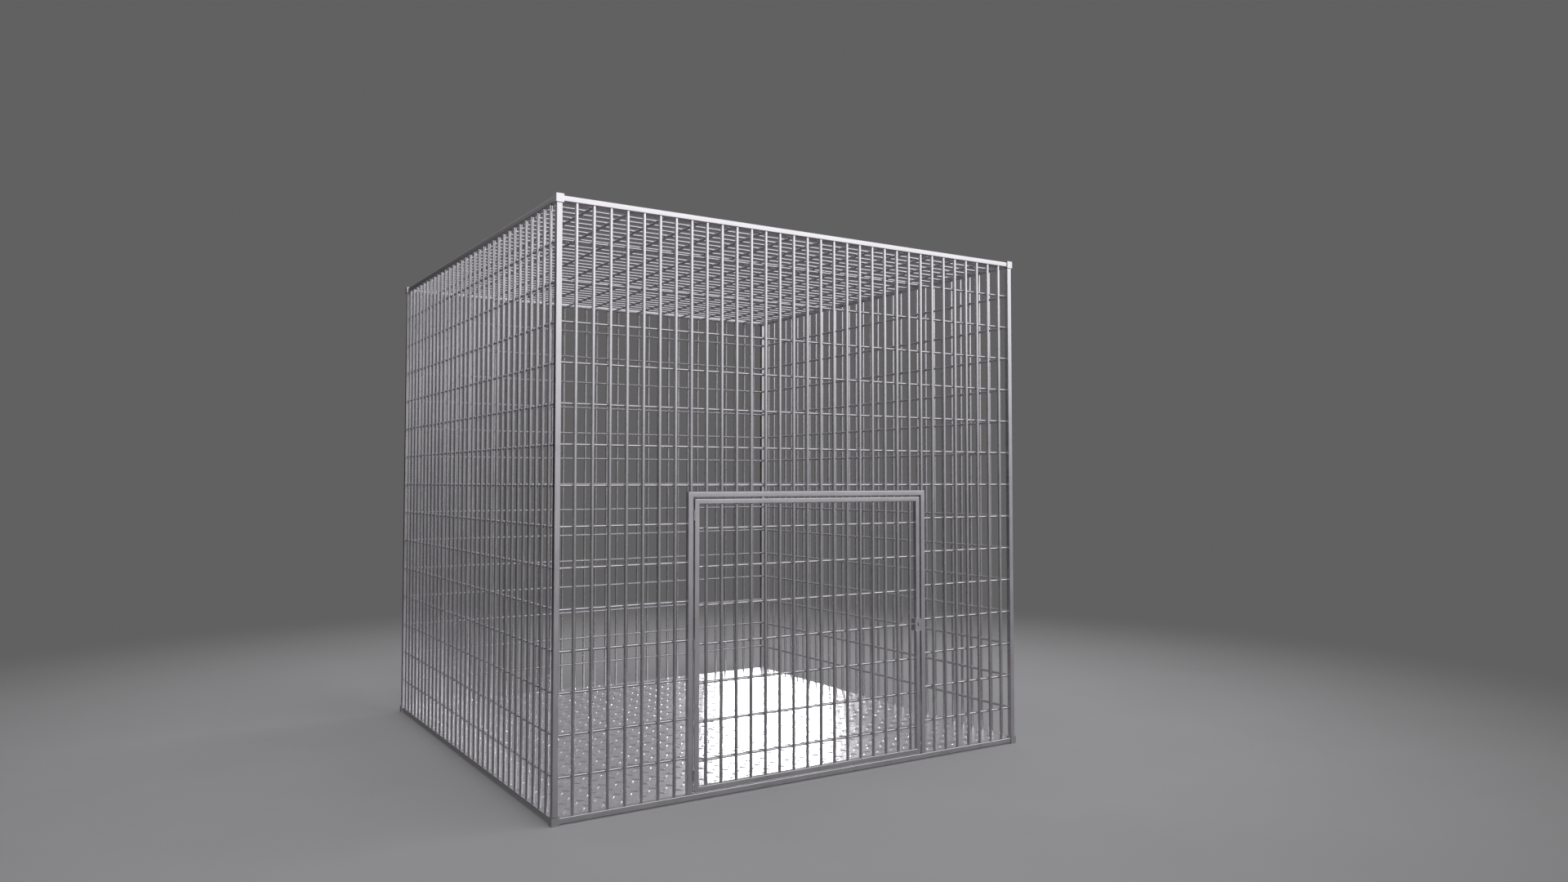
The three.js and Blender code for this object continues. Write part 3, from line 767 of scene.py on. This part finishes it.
def floor_material():
    """Pale and matt round the cage, fading into the backdrop away from it."""
    material, tree, surface = bare_material("pale_floor")
    shader = add_node(tree, "ShaderNodeBsdfPrincipled")
    shade = spread(tree, noise(tree, 1.5, 4), 0, 1)
    tree.links.new(mixed(tree, shade, *FLOOR_SHADES), shader.inputs["Base Color"])
    shader.inputs["Roughness"].default_value = 0.9
    place = add_node(tree, "ShaderNodeTexCoord")
    distance = add_node(tree, "ShaderNodeVectorMath", operation="LENGTH")
    tree.links.new(place.outputs["Object"], distance.inputs[0])
    blend = add_node(tree, "ShaderNodeMixShader")
    tree.links.new(stepped(tree, distance.outputs["Value"], *FLOOR_FADE), blend.inputs["Fac"])
    tree.links.new(shader.outputs["BSDF"], blend.inputs[1])
    tree.links.new(backdrop_glow(tree), blend.inputs[2])
    tree.links.new(blend.outputs["Shader"], surface)
    return material


def make_floor_stage():
    """The floor. The metal doesn't mirror it, as it mirrors no floor in the photograph."""
    floor = Shell()
    ring = [Vector((x * FLOOR_REACH, y * FLOOR_REACH, 0)) for x, y in ((-1, -1), (1, -1), (1, 1), (-1, 1))]
    floor.loft([[point - Z * FLOOR_DEPTH for point in ring], ring])
    surface = floor.piece("stage_floor", [floor_material()])
    surface.visible_glossy = False


def make_backdrop():
    """A plain grey sphere round everything. It is seen by the camera alone, and lights nothing."""
    sphere = bmesh.new()
    bmesh.ops.create_icosphere(sphere, subdivisions=3, radius=BACKDROP_RADIUS)
    mesh = bpy.data.meshes.new("stage_backdrop")
    sphere.to_mesh(mesh)
    sphere.free()
    material, tree, surface = bare_material("backdrop")
    tree.links.new(backdrop_glow(tree), surface)
    mesh.materials.append(material)
    backdrop = bpy.data.objects.new("stage_backdrop", mesh)
    bpy.context.scene.collection.objects.link(backdrop)
    for ray in ("diffuse", "glossy", "transmission", "volume_scatter", "shadow"):
        setattr(backdrop, f"visible_{ray}", False)


def stepped(tree, source, low, high, top=1.0):
    """Goes smoothly from 0 to top as the source goes from low to high, or down from high to low."""
    ramp = add_node(tree, "ShaderNodeMapRange", interpolation_type="SMOOTHSTEP")
    ramp.inputs["From Min"].default_value = low
    ramp.inputs["From Max"].default_value = high
    ramp.inputs["To Max"].default_value = top
    tree.links.new(source, ramp.inputs["Value"])
    return ramp.outputs["Result"]


def facing(tree, direction, way):
    """How far a direction points one way: 1 along it, -1 against it."""
    node = add_node(tree, "ShaderNodeVectorMath", operation="DOT_PRODUCT")
    node.inputs[1].default_value = Vector(way).normalized()
    tree.links.new(direction, node.inputs[0])
    return node.outputs["Value"]


def by_height(tree, height, stops):
    """The brightness at the height of a direction, as a share of the peak."""
    scaled = add_node(tree, "ShaderNodeMapRange")
    scaled.inputs["From Min"].default_value = STUDIO_LOWEST
    tree.links.new(height, scaled.inputs["Value"])
    ramp = tree.nodes.new("ShaderNodeValToRGB")
    while len(ramp.color_ramp.elements) < len(stops):
        ramp.color_ramp.elements.new(0.5)
    for element, (level, bright) in zip(ramp.color_ramp.elements, stops):
        element.position = (level - STUDIO_LOWEST) / (1 - STUDIO_LOWEST)
        share = bright / STUDIO_PEAK
        element.color = (share, share * 0.985, share, 1)
    tree.links.new(scaled.outputs["Result"], ramp.inputs["Fac"])
    return ramp.outputs["Color"]


def make_studio():
    """Soft light from all round, brightest high in front and at the right, with a dark flag at back left."""
    world = bpy.data.worlds.new("studio")
    world.use_nodes = True
    tree = world.node_tree
    direction = add_node(tree, "ShaderNodeTexCoord").outputs["Generated"]
    parts = add_node(tree, "ShaderNodeSeparateXYZ")
    tree.links.new(direction, parts.inputs["Vector"])
    height = parts.outputs["Z"]
    in_front = stepped(tree, facing(tree, direction, FRONT_WAY), -0.15, 0.8)
    level = combined(tree, stepped(tree, height, -0.2, -0.06), stepped(tree, height, 0.4, 0.12), "MULTIPLY")
    behind_flag = stepped(tree, facing(tree, direction, FLAG_WAY), 0.6, 0.9, 0.93)
    flag = combined(tree, behind_flag, level, "MULTIPLY")
    back = mixed(tree, flag, by_height(tree, height, BACK), grey(0))
    colour = mixed(tree, in_front, back, by_height(tree, height, FRONT))
    background = tree.nodes["Background"]
    tree.links.new(colour, background.inputs["Color"])
    background.inputs["Strength"].default_value = STUDIO_PEAK
    bpy.context.scene.world = world
    bpy.context.scene.view_settings.view_transform = "Standard"


def make_plate_light():
    """A lamp behind the cage that the tread plate mirrors. It lights only the plate."""
    data = bpy.data.lights.new("behind", "AREA")
    data.shape = "RECTANGLE"
    data.size, data.size_y = PLATE_LIGHT_SIZE
    data.energy = PLATE_LIGHT_WATTS
    data.spread = math.radians(60)
    lamp = bpy.data.objects.new("behind", data)
    bpy.context.scene.collection.objects.link(lamp)
    lamp.location = PLATE_LIGHT_PLACE
    beam = Vector(PLATE_LIGHT_AIM) - lamp.location
    lamp.rotation_euler = beam.to_track_quat("-Z", "Y").to_euler()
    lamp.visible_camera = False
    plate_only = bpy.data.collections.new("plate_only")
    plate_only.objects.link(bpy.data.objects["tread_plate"])
    lamp.light_linking.receiver_collection = plate_only


def make_camera():
    data = bpy.data.cameras.new("camera")
    data.sensor_width = 36
    data.lens = CAMERA_LENS
    data.clip_end = 200
    camera = bpy.data.objects.new("camera", data)
    bpy.context.scene.collection.objects.link(camera)
    camera.location = CAMERA_PLACE
    camera.rotation_euler = (math.radians(90 + CAMERA_PITCH), 0, math.radians(CAMERA_YAW))
    bpy.context.scene.camera = camera


make_frame()
make_grilles()
make_plate()
make_bearers()
make_door_frame()
make_leaf()
make_hinges()
make_lock_case()
make_lock_cover()
finish_lock_insides()
make_floor_stage()
make_backdrop()
make_studio()
make_plate_light()
make_camera()
